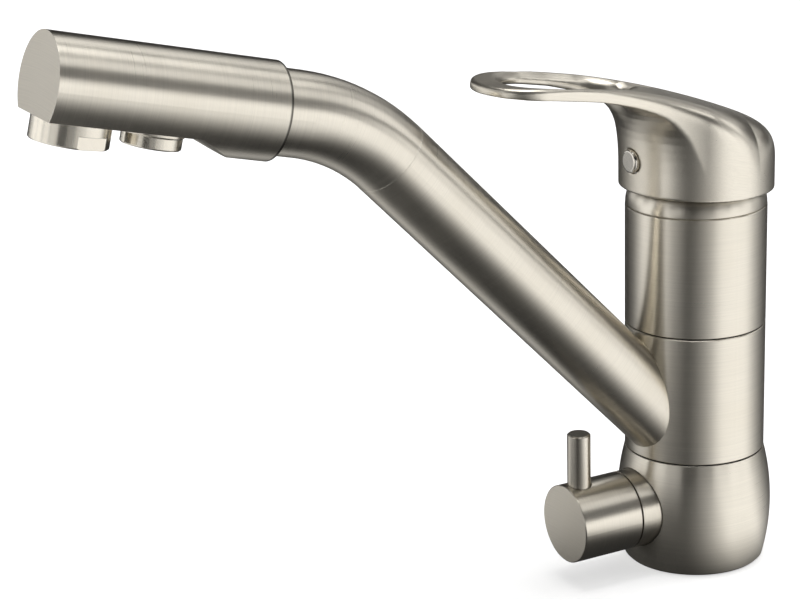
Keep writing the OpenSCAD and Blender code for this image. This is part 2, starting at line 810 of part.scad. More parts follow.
module filter_spindle() {
    color(brass) in_valve() turned(spindle_d, valve_in + 2 * disc_t + run, spindle_end);
}

module filter_knob() {
    color(nickel) in_valve() difference() {
        turned(knob_d, knob_seam + seam_gap / 2, knob_reach, 0.3);
        rod(knob_hollow_d, knob_seam - over, knob_hub);
        rod(spindle_d + 2 * seat, knob_hub - over, spindle_end + 0.1);
        translate([0, 0, pin_pos]) rotate([-90, 0, 0]) {
            rod(pin_shank_d + 2 * seat, 0, pin_step + over);
            rod(pin_d + 2 * seat, pin_step, knob_d);
            rod(pin_d + 2 * neck_gap, knob_d / 2 - 1.6, knob_d);
        }
    }
}

module filter_pin() {
    color(nickel) in_valve() translate([0, 0, pin_pos]) rotate([-90, 0, 0]) {
        turned(pin_d, pin_step, pin_h, 0.5);
        rod(pin_shank_d, spindle_d / 2 + run, pin_step + over);
    }
}

// Handle

// Height of the lever's top on its middle line
function arc_top(y) = arc_z + sqrt(top_r * top_r - pow(y - arc_y, 2));
// Smooth step from 0 to 1
function ease(t) = let(u = max(0, min(1, t))) u * u * (3 - 2 * u);

root_y = -16.2;         // where the lever's root leaves the hood
blend_y = -12;          // where the outline leaves the hood's circle
neck_y = -50;           // where the lever reaches its own width
sink_y = -46;           // where the underside starts to sink towards the hood
tip_len = 15.6;         // length of the rounded tip
root_drop = 9.5;        // how far the lever's underside sinks towards the hood
under_slope = 10.1;     // slope of the lever's underside
shoulder_power = 3.3;   // roundness of the hood's shoulder
edge_power = 2.6;       // roundness of the lever's edge
crown = 1;              // fall of the lever's top from its middle to its edge
tip_droop = 0.9;        // fall of the lever's top at its tip

function half_width(y) =
    y > blend_y ? sqrt(max(0, pow(hood_r, 2) - y * y))
    : y > neck_y ? width_blend((y - neck_y) / (blend_y - neck_y))
    : y > tip_len - lever_reach ? lever_w / 2
    : lever_w / 2 * sqrt(max(0, 1 - pow((tip_len - lever_reach - y) / tip_len, 2)));
// Cubic from the lever's half width to the hood's circle, tangent to both
function width_blend(t) = let(w1 = sqrt(pow(hood_r, 2) - pow(blend_y, 2)),
    slope = -blend_y / w1 * (blend_y - neck_y))
    lever_w / 2 * (2 * pow(t, 3) - 3 * t * t + 1) + w1 * (3 * t * t - 2 * pow(t, 3))
    + slope * (pow(t, 3) - t * t);

// Share of the way from the hood's section to the lever's, at a place along the handle
function lever_share(y) = ease((root_y - y) / (root_y - sink_y));
function top_at(y) = y > 0
    ? hood_mid + (arc_top(y) - hood_mid) * pow(1 - pow(y / hood_r, shoulder_power), 1 / shoulder_power)
    : arc_top(y) - tip_droop * ease((neck_y - y) / (lever_reach + neck_y));
function under_at(y) = y > root_y ? hood_mid - 8
    : arc_top(neck_y) - lever_t - (y - neck_y) * tan(under_slope)
        - root_drop * (1 - sqrt(1 - pow(max(0, (y - sink_y) / (root_y - sink_y)), 2)));
function widest_at(y) = let(k = lever_share(y)) hood_mid * (1 - k) + k * (top_at(y) + under_at(y)) / 2;
function power_at(y) = shoulder_power + (edge_power - shoulder_power) * lever_share(y);

// Places along the handle from the back to the tip, closer together where it curves
stations = [for (i = [0 : 9]) hood_r * cos(9 * i) - 0.02, for (i = [0 : 3]) -4 * i - 0.4,
    root_y + 0.1, root_y - 0.1, for (i = [1 : 10]) root_y - 2.5 * i,
    for (i = [0 : 5]) sink_y + 0.5 - 4 * i,
    for (i = [0 : 9]) tip_len - lever_reach - tip_len * sin(9.9 * i)];
low_n = 5;              // points on the lower part of half a section
up_n = 14;              // points on its upper part
ring_n = 2 * (low_n + up_n) + 1;

// Places along the block that fills the corner between the hood's front and the lever
block_stations = [for (i = [0 : 14]) root_y + 4 - 2.1 * i];

// Right half of a section, from below to the last point before the top, as [x, z]. Below its
// widest line it rounds in to the underside, or the underside cuts it where that lies higher.
function half_ring(y) = let(w = half_width(y), t = top_at(y), b = min(under_at(y), t - 0.6),
    m = widest_at(y), p = 2 / power_at(y), cut = b > m,
    a0 = cut ? asin(pow((b - m) / (t - m), 1 / p)) : 0, foot = w * pow(cos(a0), p))
    [for (i = [0 : low_n - 1]) let(u = (i + 0.5) / low_n, a = 90 - 90 * u)
        cut ? [foot * u, b] : [w * pow(cos(a), p), m - (m - b) * pow(sin(a), p)],
    for (j = [0 : up_n - 1]) let(a = a0 + (90 - a0) * j / up_n)
        [w * pow(cos(a), p), m + (t - m) * pow(sin(a), p)]];

// The same with straight sides that go down to the hood's widest line, a little inside the first
function block_half_ring(y) = let(w = half_width(y) - inset, t = top_at(y) - inset, m = widest_at(y),
    p = 2 / power_at(y))
    [for (i = [0 : low_n - 1]) [w * min(1, 0.25 + 0.25 * i), hood_mid - 1 + (i > 3 ? (m - hood_mid + 1) / 2 : 0)],
    for (j = [0 : up_n - 1]) let(a = 90 * j / up_n)
        [w * pow(cos(a), p), m + (t - m) * pow(sin(a), p)]];

// Whole section from its right half and the height of its top
function whole_ring(y, half, top) = let(n = len(half), fall = crown * lever_share(y),
    w = max(half_width(y), 0.01))
    [for (p = half) [p[0], y, p[1] - fall * pow(p[0] / w, 2)], [0, y, top],
    for (i = [n - 1 : -1 : 0]) [-half[i][0], y, half[i][1] - fall * pow(half[i][0] / w, 2)]];

// Solid through a row of sections, from the back forwards
module loft(rings) {
    n = len(rings);
    sides = [for (i = [0 : n - 2], j = [0 : ring_n - 1]) let(k = (j + 1) % ring_n)
        [i * ring_n + j, (i + 1) * ring_n + j, (i + 1) * ring_n + k, i * ring_n + k]];
    top = low_n + up_n;
    back = [[for (j = [0 : ring_n - 1]) (top + j) % ring_n]];
    front = [[for (j = [ring_n - 1 : -1 : 0]) (n - 1) * ring_n + (top + 1 + j) % ring_n]];
    polyhedron([for (ring = rings) each ring], concat(back, sides, front));
}

module lever_shape() {
    loft([for (y = stations) whole_ring(y, half_ring(y), top_at(y))]);
}

// Draws along the lever's stem, from its pivot upwards
module in_stem() {
    translate([0, 0, pivot_z]) rotate([stem_lean, 0, 0]) children();
}

// The hood's own frame, which leans with the lever about its pivot
module in_hood() {
    translate([0, 0, pivot_z]) rotate([-hood_lean, 0, 0]) translate([0, 0, -pivot_z]) children();
}

module lever_handle() {
    color(nickel) difference() {
        union() {
            difference() {
                union() {
                    lever_shape();
                    in_hood() rotate_extrude($fn = 180) polygon([[0, hood_low], [hood_r - 0.6, hood_low],
                        [hood_r, hood_low + 0.8], [hood_r, hood_mid], [0, hood_mid]]);
                    lever_flare();
                }
                in_hood() {
                    rod(2 * hood_in_r, hood_low - over, cavity_step);
                    translate([0, 0, cavity_step]) {
                        cylinder(r1 = hood_in_r, d2 = cavity_top_d, h = cavity_top - cavity_step);
                    }
                }
            }
            in_stem() rod(boss_d, boss_low, stem_up + 2);
        }
        in_stem() translate([-stem_w / 2 - seat, -stem_w / 2 - seat, 0]) {
            cube([stem_w + 2 * seat, stem_w + 2 * seat, stem_up + 0.1]);
        }
        translate([0, 0, cap_z]) rotate([90, 0, 0]) {
            cylinder(d = screw_d + 2 * seat, h = hood_r);
            rod(cap_d + 2 * seat, hood_r - 8, 2 * hood_r);
        }
        finger_loop();
    }
}

// Front wall of the hood and the curved flare where it runs up into the lever
module lever_flare() {
    high = flare_r - 1;
    intersection() {
        loft([for (y = block_stations) whole_ring(y, block_half_ring(y), top_at(y) - inset)]);
        translate([0, 0, hood_mid - 0.5]) rotate([0, 0, -180]) rotate_extrude(angle = 180) difference() {
            square([hood_r + flare_out, high]);
            translate([hood_r + flare_r, 0]) circle(r = flare_r, $fn = 180);
        }
    }
}

// Long opening in the lever, with a hollow that runs back from it
module finger_loop() {
    front_r = loop_w / 2;
    back_r = loop_back_w / 2;
    translate([0, 0, hood_mid]) linear_extrude(2 * hood_r) hull() {
        translate([0, front_r - loop_front]) circle(r = front_r, $fn = 64);
        translate([0, -loop_back - back_r]) circle(r = back_r, $fn = 64);
    }
    hull() {
        translate([0, -loop_back - back_r, arc_top(-loop_back - back_r) + 1]) sphere(r = back_r - 2, $fn = hull_fn);
        translate([0, root_y - 4, arc_top(root_y - 4) + 0.7]) sphere(r = 1, $fn = hull_fn);
    }
}

// Distance from the axis to the stem's front face at the screw's height
function stem_face() = (cap_z - pivot_z) * tan(stem_lean) + stem_w / 2 / cos(stem_lean);

module handle_screw() {
    start = stem_face() + screw_d / 2 * tan(stem_lean) + run;
    color(dark_nickel) translate([0, -start, cap_z]) rotate([90, 0, 0]) difference() {
        cylinder(d = screw_d, h = screw_len);
        translate([0, 0, screw_len - 2.5]) cylinder(d = 2.9, h = 3, $fn = 6);
    }
}

// Button with a rounded edge
module handle_cap() {
    r = cap_d / 2;
    outline = [for (a = [0 : 10 : 90]) [r - cap_rise + cap_rise * cos(a), cap_t + cap_rise * sin(a)]];
    color([0.9, 0.9, 0.9]) translate([0, cap_t - hood_r - cap_proud, cap_z]) rotate([90, 0, 0]) {
        rotate_extrude() polygon(concat([[0, 0], [r, 0]], outline, [[0, cap_t + cap_rise]]));
    }
}

base_body();
base_seal();
core();
core_o_rings();
lower_slide_ring();
upper_slide_ring();
upper_body();
core_top_seals();
swivel_body();
spout_tube();
spout_head();
head_gasket();
filtered_pipe();
aerator_shell();
aerator_insert();
aerator_washer();
outlet_shell();
outlet_insert();
outlet_washer();
filter_neck();
filter_headwork();
filter_seat_ring();
filter_disc_fixed();
filter_disc_moving();
filter_spindle();
filter_knob();
filter_pin();
cartridge_base();
cartridge_port_seals();
ceramic_disc_fixed();
ceramic_disc_moving();
disc_carrier();
cartridge_housing();
cartridge_rotor();
pivot_pin();
cartridge_nut();
trim_collar();
lever_stem();
lever_handle();
handle_screw();
handle_cap();
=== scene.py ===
"""Looks, light and camera for a kitchen mixer with a second outlet for filtered drinking water."""

import math

import bpy
import numpy as np
from mathutils import Matrix, Vector


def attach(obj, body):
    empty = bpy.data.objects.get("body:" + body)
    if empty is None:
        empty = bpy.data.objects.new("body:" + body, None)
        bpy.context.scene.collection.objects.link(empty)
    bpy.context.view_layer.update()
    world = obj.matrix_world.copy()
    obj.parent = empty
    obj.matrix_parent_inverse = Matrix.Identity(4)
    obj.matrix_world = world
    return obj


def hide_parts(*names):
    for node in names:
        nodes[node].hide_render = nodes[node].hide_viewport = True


MM = 0.001
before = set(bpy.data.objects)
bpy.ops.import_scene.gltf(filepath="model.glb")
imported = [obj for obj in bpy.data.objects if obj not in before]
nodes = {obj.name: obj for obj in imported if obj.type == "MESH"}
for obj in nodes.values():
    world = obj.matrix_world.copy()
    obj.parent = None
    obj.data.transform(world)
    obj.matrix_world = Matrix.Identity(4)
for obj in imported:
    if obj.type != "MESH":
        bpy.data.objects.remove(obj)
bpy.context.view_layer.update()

# Camera: measured from the photograph's edges, in the row frame
CAMERA_PLACE = (0.650370, -0.467914, 0.346124)
CAMERA_AZIMUTH = 61.511
CAMERA_PITCH = 17.52
CAMERA_ROLL = -1.691
CAMERA_CLIP = (0.05, 20)
FOCAL_PX = 2436.11
IMAGE_W = 800
SENSOR_W = 36

# Axes of the turned parts, in millimetres. The bent tube lies in the plane x = 0, and the
# places on its centre line are pairs of y and z.
COLUMN_R = 24
TUBE_ROOT_Z = 63.4
KNOB_Z = 21.4
PIN_Y = -47.7
TUBE_RISE = math.radians(45.9)
HEAD_TILT = math.radians(14)
TUBE_RUN = 168.4
BEND_R = 67.5
TUBE_STUB = 8.8
TUBE_Z = TUBE_ROOT_Z - COLUMN_R * math.tan(TUBE_RISE)
BEND_START = (-TUBE_RUN * math.cos(TUBE_RISE), TUBE_Z + TUBE_RUN * math.sin(TUBE_RISE))
BEND_CENTRE = (
    BEND_START[0] - BEND_R * math.sin(TUBE_RISE),
    BEND_START[1] - BEND_R * math.cos(TUBE_RISE),
)
BEND_END = (
    BEND_CENTRE[0] + BEND_R * math.sin(HEAD_TILT),
    BEND_CENTRE[1] + BEND_R * math.cos(HEAD_TILT),
)
HEAD_AXIS = (0, -math.cos(HEAD_TILT), math.sin(HEAD_TILT))
HEAD_DOWN = (0, -math.sin(HEAD_TILT), -math.cos(HEAD_TILT))


# Node trees


class Tree:
    """Short calls that add shader nodes and join them."""

    def __init__(self, tree):
        self.tree = tree
        tree.nodes.clear()

    def put(self, socket, value):
        if isinstance(value, bpy.types.NodeSocket):
            self.tree.links.new(value, socket)
        elif value is not None:
            socket.default_value = value

    def add(self, kind, inputs=None, **settings):
        node = self.tree.nodes.new(kind)
        for name, value in settings.items():
            setattr(node, name, value)
        for name, value in (inputs or {}).items():
            self.put(node.inputs[name], value)
        return node

    def math(self, operation, a, b=None):
        return self.add("ShaderNodeMath", {0: a, 1: b}, operation=operation).outputs[0]

    def vector(self, operation, a, b=None):
        node = self.add("ShaderNodeVectorMath", {0: a, 1: b}, operation=operation)
        return node.outputs["Value" if operation in ("DOT_PRODUCT", "LENGTH") else "Vector"]

    def join(self, x, y, z):
        return self.add("ShaderNodeCombineXYZ", {0: x, 1: y, 2: z}).outputs[0]

    def scaled(self, a, factor):
        node = self.add("ShaderNodeVectorMath", {0: a, "Scale": factor}, operation="SCALE")
        return node.outputs["Vector"]

    def blend(self, factor, a, b):
        """Vector a where the factor is 0, and b where it is 1."""
        rest = self.math("SUBTRACT", 1.0, factor)
        return self.vector("ADD", self.scaled(a, rest), self.scaled(b, factor))

    def span(self, value, low, high, to_low, to_high):
        """Value's range from low to high, stretched to another range and clamped there."""
        ends = {0: value, 1: low, 2: high, 3: to_low, 4: to_high}
        return self.add("ShaderNodeMapRange", ends).outputs[0]

    def noise(self, vector, scale, detail=3.0, rough=0.6):
        inputs = {"Vector": vector, "Scale": scale, "Detail": detail, "Roughness": rough}
        return self.add("ShaderNodeTexNoise", inputs).outputs["Fac"]

    def mix(self, factor, a, b):
        """Color a where the factor is 0, and b where it is 1."""
        return self.add("ShaderNodeMix", {0: factor, 6: a, 7: b}, data_type="RGBA").outputs[2]

    def place(self):
        """Place on the piece in its own frame, in millimetres."""
        return self.scaled(self.add("ShaderNodeTexCoord").outputs["Object"], 1 / MM)

    def bump(self, strength, depth_mm, height, normal=None):
        inputs = {"Strength": strength, "Distance": depth_mm * MM, "Height": height}
        return self.add("ShaderNodeBump", {**inputs, "Normal": normal}).outputs[0]

    def principled(self, inputs):
        return self.add("ShaderNodeBsdfPrincipled", inputs).outputs[0]

    def surface(self, shader):
        self.add("ShaderNodeOutputMaterial", {"Surface": shader})


def new_material(name):
    material = bpy.data.materials.new(name)
    material.use_nodes = True
    return material, Tree(material.node_tree)


def tone(color, *factors):
    """Color with alpha, times one factor or one for each channel, and white at most."""
    factors = factors * 3 if len(factors) == 1 else factors
    return tuple(min(1.0, c * f) for c, f in zip(color, factors)) + (1,)


# Materials

NICKEL = (0.735, 0.690, 0.600)
# lighter colour painted on the edges: wear, and a painted highlight line
EDGE_WEAR_AND_HIGHLIGHT = (0.93, 0.90, 0.84)
# colour of the painted shade in the line where the spout head's rear edge meets the tube
SEAM_SHADE = (0.05, 0.047, 0.04)
# width of a scratch, its length, the bow of the scratches on an end face, and their depth
STREAK_MM = 0.16
STREAK_RUN_MM = 20
FACE_ARC_MM = 240
SCRATCH_MM = 0.02
# end faces: where they begin, as the cosine between face and axis, and how much rougher they are
FACE_FROM, FACE_FULL = 0.85, 0.95
FACE_ROUGHER = 0.08
EDGE_MM = 0.25
# the middle of a noise's range, which is stretched to the range of a color or a roughness
MIDDLE = (0.3, 0.7)


def bend_frame(t, place):
    """Axis direction, offset from the axis and length along it for a point on the bent tube."""
    parts = t.add("ShaderNodeSeparateXYZ", {0: place})
    ahead = t.math("SUBTRACT", parts.outputs["Y"], BEND_CENTRE[0])
    above = t.math("SUBTRACT", parts.outputs["Z"], BEND_CENTRE[1])
    turn = t.math("MAXIMUM", t.math("ARCTAN2", ahead, above), HEAD_TILT)
    turn = t.math("MINIMUM", turn, TUBE_RISE)
    sine, cosine = t.math("SINE", turn), t.math("COSINE", turn)
    axis = t.join(0.0, t.math("MULTIPLY", cosine, -1.0), sine)
    arm = t.join(0.0, t.math("MULTIPLY", sine, BEND_R), t.math("MULTIPLY", cosine, BEND_R))
    offset = t.vector("SUBTRACT", place, t.vector("ADD", arm, (0, *BEND_CENTRE)))
    ahead_of_anchor = t.vector("DOT_PRODUCT", offset, axis)
    along = t.math("SUBTRACT", ahead_of_anchor, t.math("MULTIPLY", turn, BEND_R))
    return axis, offset, along


def straight_frame(t, place, point, direction):
    """The same for a point on a straight piece, whose axis runs through point."""
    axis = t.join(*direction)
    offset = t.vector("SUBTRACT", place, point)
    return axis, offset, t.vector("DOT_PRODUCT", offset, axis)


def scratch_lines(t, axis, across, along, lengthwise):
    """Coordinates that change fast over the scratches and slowly along them."""
    if lengthwise:
        run = t.math("DIVIDE", along, STREAK_RUN_MM)
        return t.vector("ADD", t.scaled(across, 1 / STREAK_MM), t.scaled(axis, run))
    depth = t.math("ADD", along, t.vector("LENGTH", across))
    step = t.math("DIVIDE", depth, STREAK_MM)
    return t.vector("ADD", t.scaled(across, 1 / STREAK_RUN_MM), t.scaled(axis, step))


def face_lines(t, across, up_face):
    """The same for end faces, which are brushed from side to side in wide arcs."""
    sideways = t.vector("DOT_PRODUCT", across, (1, 0, 0))
    bow = t.math("DIVIDE", t.math("MULTIPLY", sideways, sideways), FACE_ARC_MM)
    upward = t.math("ADD", t.vector("DOT_PRODUCT", across, up_face), bow)
    run = t.math("DIVIDE", sideways, STREAK_RUN_MM)
    return t.join(run, t.math("DIVIDE", upward, STREAK_MM), 0.0)


def brushed_metal(
    name, point=(0, 0, 0), direction=(0, 0, 1), bent=False, lengthwise=False,
    rough=(0.28, 0.35), bump=0.04, grooves=0.75, seam=None,
):
    """Satin nickel with fine scratches round an axis, or along it, and softened edges painted
    bright, for wear and as a painted highlight.

    A seam is the place along the axis and the half width of a dark line of painted shade round the
    piece.
    """
    material, t = new_material(name)
    place = t.place()
    if bent:
        axis, offset, along = bend_frame(t, place)
    else:
        axis, offset, along = straight_frame(t, place, point, direction)
    inward = t.scaled(axis, t.vector("DOT_PRODUCT", offset, axis))
    across = t.vector("SUBTRACT", offset, inward)
    plain = t.add("ShaderNodeNewGeometry").outputs["Normal"]
    facing = t.math("ABSOLUTE", t.vector("DOT_PRODUCT", plain, axis))
    faced = t.span(facing, FACE_FROM, FACE_FULL, 0.0, 1.0)
    # the highlight is drawn out over the scratches, so the tangent lies across them
    fine = scratch_lines(t, axis, across, along, lengthwise)
    if lengthwise:
        tangent = t.vector("NORMALIZE", t.vector("CROSS_PRODUCT", plain, axis))
    else:
        up_face = t.vector("CROSS_PRODUCT", axis, (1, 0, 0))
        fine = t.blend(faced, fine, face_lines(t, across, up_face))
        round_way = t.vector("CROSS_PRODUCT", axis, across)
        tangent = t.vector("NORMALIZE", t.vector("CROSS_PRODUCT", plain, round_way))
        tangent = t.blend(faced, tangent, up_face)
    streaks = t.noise(fine, 1.0, 2.0, 0.55)
    wide = t.noise(t.vector("MULTIPLY", fine, (0.35, 0.35, 0.35)), 1.0, 3.0, 0.6)
    grain = t.math("ADD", t.math("MULTIPLY", streaks, 0.6), t.math("MULTIPLY", wide, 0.4))
    cloud = t.noise(place, 0.045, 3.0, 0.5)
    # a little lighter where a scratch catches light, and warmer where it is handled
    base = t.mix(t.span(grain, *MIDDLE, 0.0, 1.0), tone(NICKEL, 0.91), tone(NICKEL, 1.06))
    base = t.mix(t.span(cloud, 0.45, 0.75, 0.0, 0.35), base, tone(NICKEL, 1, 0.985, 0.95))
    # edges lose their brushing first and are painted brighter, partly for that wear and partly as
    # a painted highlight line along each edge
    soft = t.add("ShaderNodeBevel", {"Radius": EDGE_MM * MM}, samples=4).outputs[0]
    edge_wear_and_highlight = t.math("SUBTRACT", 1.0, t.vector("DOT_PRODUCT", soft, plain))
    base = t.mix(t.span(edge_wear_and_highlight, 0.02, 0.20, 0.0, 0.4), base, tone(EDGE_WEAR_AND_HIGHLIGHT, 1))
    # painted shade: a dark line round the piece at the seam, where shade falls between head and
    # tube
    if seam:
        seam_place, seam_half = seam
        near = t.math("ABSOLUTE", t.math("SUBTRACT", along, seam_place))
        painted_seam_shade = t.span(near, seam_half * 0.5, seam_half, 0.85, 0.0)
        base = t.mix(painted_seam_shade, base, tone(SEAM_SHADE, 1))
    roughness = t.span(grain, *MIDDLE, *rough)
    roughness = t.math("ADD", roughness, t.span(cloud, *MIDDLE, -0.02, 0.02))
    roughness = t.math("ADD", roughness, t.math("MULTIPLY", faced, FACE_ROUGHER))
    t.surface(t.principled({
        "Base Color": base, "Metallic": 1.0, "Roughness": roughness,
        "Normal": t.bump(bump, SCRATCH_MM, grain, soft),
        "Tangent": tangent, "Anisotropic": grooves,
    }))
    return material


def plain_metal(name, color, rough):
    """Bare turned metal for the inner parts and the polished cap."""
    material, t = new_material(name)
    place = t.place()
    grain = t.noise(t.vector("MULTIPLY", place, (0.15, 0.15, 2.5)), 1.0, 3.0)
    cloud = t.noise(place, 0.12, 4.0)
    patchy = t.math("MULTIPLY", t.math("ADD", grain, cloud), 0.5)
    t.surface(t.principled({
        "Base Color": t.mix(patchy, tone(color, 0.8), tone(color, 1)), "Metallic": 1.0,
        "Normal": t.bump(0.15, 0.03, grain),
        "Roughness": t.span(cloud, *MIDDLE, rough - 0.06, rough + 0.08),
    }))
    return material


def molded(name, color, rough, grain_mm=0.5, bump=0.2):
    """Moulded plastic, rubber or fired ceramic: finely pitted, with faint tone changes."""
    material, t = new_material(name)
    place = t.place()
    pits = t.noise(place, 1 / grain_mm, 4.0, 0.7)
    cloud = t.span(t.noise(place, 0.15, 3.0), *MIDDLE, 0.0, 1.0)
    t.surface(t.principled({
        "Base Color": t.mix(cloud, tone(color, 0.82), tone(color, 1)),
        "Normal": t.bump(bump, 0.05, pits),
        "Roughness": t.span(pits, *MIDDLE, rough - 0.05, rough + 0.05),
    }))
    return material


column_metal = brushed_metal("column_nickel")
knob_metal = brushed_metal("knob_nickel", point=(0, 0, KNOB_Z), direction=(0, -1, 0))
pin_metal = brushed_metal("pin_nickel", point=(0, PIN_Y, 0))
tube_metal = brushed_metal("tube_nickel", bent=True)
# the head gets a dark line of painted shade at its rear edge, next to the tube
head_metal = brushed_metal(
    "head_nickel", point=(0, *BEND_END), direction=HEAD_AXIS, seam=(TUBE_STUB + 0.2, 0.7)
)
outlet_metal = brushed_metal(
    "outlet_nickel", point=(0, *BEND_END), direction=HEAD_DOWN, rough=(0.20, 0.27), bump=0.03
)
handle_metal = brushed_metal(
    "handle_nickel", point=(0, 0, 150), direction=(0, -0.97, 0.24), lengthwise=True,
    bump=0.02, grooves=0.3,
)
brass = plain_metal("turned_brass", (0.78, 0.60, 0.30), 0.3)
steel = plain_metal("drawn_steel", (0.55, 0.53, 0.50), 0.3)
cap_metal = plain_metal("polished_nickel", (0.88, 0.84, 0.76), 0.16)
rubber = molded("black_rubber", (0.025, 0.025, 0.025), 0.7, 0.4, 0.3)
ceramic = molded("fired_ceramic", (0.88, 0.87, 0.84), 0.25, 0.3, 0.1)
white_plastic = molded("white_plastic", (0.80, 0.80, 0.78), 0.42)
blue_plastic = molded("blue_plastic", (0.25, 0.40, 0.58), 0.42)
grey_plastic = molded("grey_plastic", (0.36, 0.37, 0.39), 0.45)

FINISH = {
    column_metal: ["base_body", "upper_body", "swivel_body", "trim_collar"],
    knob_metal: ["filter_neck", "filter_knob"],
    pin_metal: ["filter_pin"],
    tube_metal: ["spout_tube"],
    head_metal: ["spout_head"],
    outlet_metal: ["aerator_shell", "outlet_shell"],
    handle_metal: ["lever_handle"],
    cap_metal: ["handle_cap"],
    brass: ["core", "filter_headwork", "filter_spindle", "cartridge_nut"],
    steel: ["pivot_pin", "lever_stem", "handle_screw"],
    rubber: [
        "base_seal", "core_o_rings", "core_top_seals", "head_gasket", "aerator_washer",
        "outlet_washer", "filter_seat_ring", "cartridge_port_seals", "lower_slide_ring",
        "upper_slide_ring",
    ],
    ceramic: [
        "filter_disc_fixed", "filter_disc_moving", "ceramic_disc_fixed", "ceramic_disc_moving",
    ],
    white_plastic: ["cartridge_base", "cartridge_housing", "aerator_insert"],
    blue_plastic: ["filtered_pipe", "outlet_insert", "disc_carrier"],
    grey_plastic: ["cartridge_rotor"],
}
for material, names in FINISH.items():
    for name in names:
        data = nodes[name].data
        if not data.materials:
            data.materials.append(material)
        for i in range(len(data.materials)):
            data.materials[i] = material


# Handle: one smooth casting, as a field that is negative inside the metal, in millimetres

# plan: a round hood that runs into a lever with an elliptic tip
HOOD_R = 26.2
BLEND_Y = -12.0
NECK_Y = -50.0
LEVER_HALF = 17.4
LEVER_TIP = -84.6
TIP_LEN = 15.6

# top: a wide arc, a cubic that settles it on the photograph's contour, the tip's droop and
# a crown across
HOOD_TOP = 163.3
TOP_SLOPE = math.radians(18.9)
TOP_R = 333.5
ARC = (-TOP_R * math.sin(TOP_SLOPE), HOOD_TOP - TOP_R * math.cos(TOP_SLOPE))
MEAN_SLOPE = math.radians(14)
CUBIC = (0.104, 0.892, 0.240, 0.246)
CUBIC_Y = -30
CUBIC_RUN = 55
DROOP = 0.9
DROOP_Y = -52
DROOP_RUN = 33
CROWN = 0.0042

# the lever is a ring round the finger loop: lower in its middle, dished, and thinner
RING_Y = -38
RING_RUN = 14
RING_DROP = 1.75
RING_DISH = 0.006
RING_RAISE = 0.32

# finger loop as a rod seen from above, and the hollow behind it: ends and their radii
LOOP = ((0, -60.0, 0), (0, -41.0, 0), 12.2, 10.0)
LOOP_EDGE = 2.8
LOOP_FLARE = 0.45
LOOP_FLARE_DEPTH = 5
LOOP_FLARE_MOST = 6
HOLLOW = ((0, -42.0, 178.0), (0, -20.0, 170.6), 6.5, 1.8)
HOLLOW_EDGE = 1.6

# radius of the edge round the top, and of the edge between side and underside, along Y
SHOULDER_Y = [-84, -48, -34, -26, -18, -9, 0, 8, 26]
SHOULDER = [1.8, 1.2, 2.6, 3.4, 4.6, 6.0, 9.6, 13.3, 6.1]
SHOULDER_POWER = 3.0
RIDGE_Y = [-84, -50, -40, -30, -22, -14]
RIDGE = [0.5, 0.5, 1.0, 0.8, 0.6, 0.02]

# skirt: height of its edge, lean of that edge along Y, and the edge's radius
HOOD_LOW = 133.3
HOOD_LEAN = 0.0314
SKIRT_EDGE = 0.5

# room inside the hood with a cone above it, the stem's boss in it, and the cap's hole
ROOM_R = 24.6
ROOM_TOP = 141
CONE_TOP = 150
CONE_TAPER = 0.733
CONE_SCALE = 0.8
PIVOT_Z = 126.5
STEM_LEAN = math.radians(11)
BOSS_R = 7.5
BOSS_START = 13
CAP_Z = 145.0
CAP_HOLE_R = 4.2
CAP_HOLE_Y = -24

# underside of the hood's front and of the lever, as distance from the column's axis and height
UNDERSIDE = np.array([
    (26.2, 120.0), (26.2, 143.0), (26.35, 147.0), (26.6, 150.0), (26.95, 153.0), (27.5, 155.8),
    (28.4, 158.3), (29.7, 160.8), (31.6, 163.0), (34.0, 164.7), (37.0, 166.2), (41.0, 167.8),
    (46.0, 169.3), (52.0, 170.7), (60.0, 172.1), (70.0, 173.7), (80.0, 175.0), (95.0, 176.4),
])
UPRIGHT_POINTS = 2
TABLE_FAR = 100
TABLE_LOW, TABLE_HIGH = 118, 190
TABLE_STEP = 0.5

NET_LOW = (-28, -87, 130)
NET_HIGH = (28, 28, 184)
NET_STEP = 0.5


def ease(t):
    t = np.clip(t, 0, 1)
    return t * t * (3 - 2 * t)


def round_both(a, b, r, power=2.0):
    """Where both fields are negative, with the edge between them rounded to radius r.

    A power over 2 lets the round run out softly into both faces, with the corner where it was.
    """
    r = r * (1 - 2**-0.5) / (1 - 2 ** (-1 / power))
    near = (np.maximum(a + r, 0) ** power + np.maximum(b + r, 0) ** power) ** (1 / power)
    return np.minimum(-r, np.maximum(a, b)) + near


def round_cut(a, b, r):
    """Field a with b taken away, and the edge between them rounded."""
    return round_both(a, -b, r)


def half_width(y):
    """Half of the handle's width and its slope along Y: a cubic from the neck to the hood."""
    hood_half = math.sqrt(HOOD_R**2 - BLEND_Y**2)
    run = BLEND_Y - NECK_Y
    slope = -BLEND_Y / hood_half * run
    t = np.clip((y - NECK_Y) / run, 0, 1)
    width = LEVER_HALF * (2 * t**3 - 3 * t**2 + 1)
    width = width + hood_half * (3 * t**2 - 2 * t**3) + slope * (t**3 - t**2)
    rate = LEVER_HALF * (6 * t**2 - 6 * t)
    rate = (rate + hood_half * (6 * t - 6 * t**2) + slope * (3 * t**2 - 2 * t)) / run
    return width, rate


def plan_field(x, y):
    width, rate = half_width(y)
    side = (np.abs(x) - width) / np.sqrt(1 + rate**2)
    hood = np.hypot(x, y) - HOOD_R
    tip_y = LEVER_TIP + TIP_LEN
    tip = (np.hypot(x / LEVER_HALF, np.minimum(y - tip_y, 0) / TIP_LEN) - 1) * LEVER_HALF
    return np.where(y > BLEND_Y, hood, np.where(y < tip_y, tip, side))


def in_ring(y):
    """Rises from 0 behind the finger loop to 1 where the lever is a ring round it."""
    return ease((RING_Y - y) / RING_RUN)


